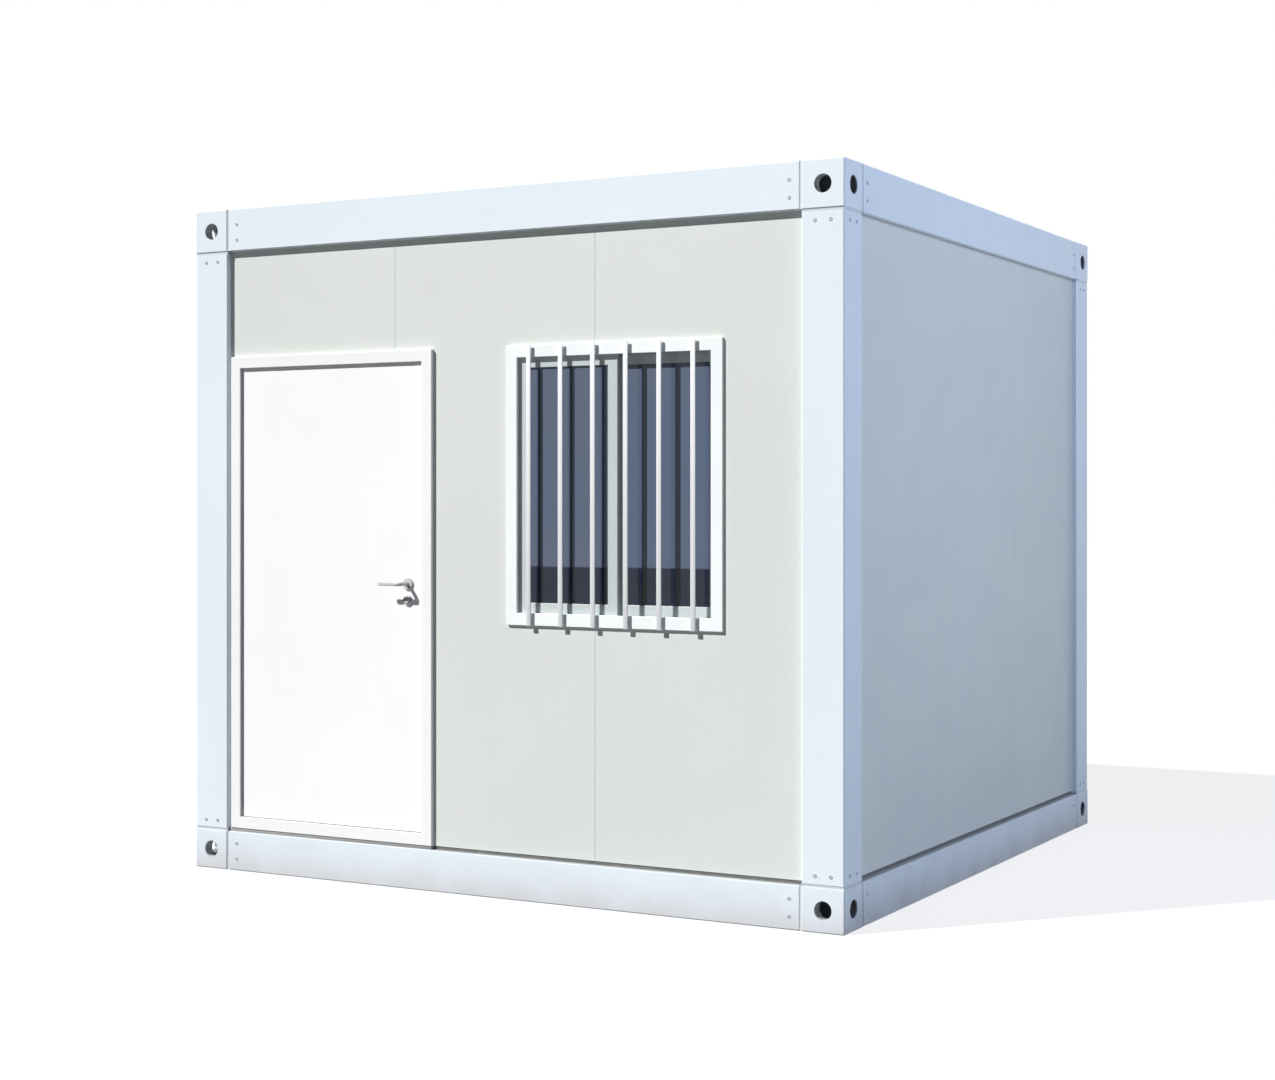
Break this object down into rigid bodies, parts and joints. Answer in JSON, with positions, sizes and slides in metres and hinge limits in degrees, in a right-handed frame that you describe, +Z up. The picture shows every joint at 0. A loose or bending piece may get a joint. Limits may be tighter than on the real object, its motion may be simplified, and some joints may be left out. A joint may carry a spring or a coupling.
{
  "type": "modular house",
  "caption": "Flat-roofed modular house with a bolted steel frame, pierced corner blocks, insulated wall panels, an inward door with a lever handle and a barred sliding window.",
  "frame": {"origin": "on the ground under the middle of the steel frame", "axes": "+X right along the front, +Y from the front into the house, +Z up"},
  "size_m": [3, 3.0445, 2.8],
  "materials": {
    "frame_paint": "satin",
    "panel_paint": "satin",
    "door_paint": "satin",
    "ceiling_paint": "satin",
    "roof_paint": "satin",
    "galvanised_steel": "satin",
    "hinge_steel": "satin",
    "handle_metal": "satin",
    "floor_board": "matte",
    "seal_rubber": "matte",
    "window_plastic": "gloss",
    "window_glass": "clear, tinted"
  },
  "bodies": {
    "house": {"base_block_front_left": "frame_paint", "base_block_front_right": "frame_paint", "base_block_rear_left": "frame_paint", "base_block_rear_right": "frame_paint", "roof_block_front_left": "frame_paint", "roof_block_front_right": "frame_paint", "roof_block_rear_left": "frame_paint", "roof_block_rear_right": "frame_paint", "post_front_left": "frame_paint", "post_front_right": "frame_paint", "post_rear_left": "frame_paint", "post_rear_right": "frame_paint", "base_beam_front": "frame_paint", "base_beam_right": "frame_paint", "base_beam_rear": "frame_paint", "base_beam_left": "frame_paint", "roof_beam_front": "frame_paint", "roof_beam_right": "frame_paint", "roof_beam_rear": "frame_paint", "roof_beam_left": "frame_paint", "right_wall": "panel_paint", "rear_wall": "panel_paint", "left_wall": "panel_paint", "front_panel_over_door": "panel_paint", "front_panel_middle": "panel_paint", "front_panel_right": "panel_paint", "wall_base_seals": "seal_rubber", "floor_board": "floor_board", "floor_joists": "galvanised_steel", "ceiling": "ceiling_paint", "roof_purlins": "galvanised_steel", "roof_sheet": "roof_paint", "door_frame": "door_paint", "door_hinge_frame_halves": "hinge_steel", "window_frame": "window_plastic", "window_sash_left": "window_plastic", "window_sash_right": "window_plastic", "window_glass_left": "window_glass", "window_glass_right": "window_glass"},
    "door": {"door_leaf": "door_paint", "door_roses": "handle_metal", "door_hinge_leaf_halves": "hinge_steel"},
    "handle": {"door_handle": "handle_metal"}
  },
  "joints": [
    {"name": "door_swing", "type": "hinge", "parent": "house", "child": "door", "pos_m": [-1.2835, -1.416, 1.1755], "axis": [0, 0, 1], "range_deg": [0, 90]},
    {"name": "handle_turn", "type": "hinge", "parent": "door", "child": "handle", "pos_m": [-0.416, -1.4505, 1.228], "axis": [0, -1, 0], "range_deg": [0, 45], "stiffness_Nm_per_rad": 1.2, "springref_deg": -34.38}
  ]
}
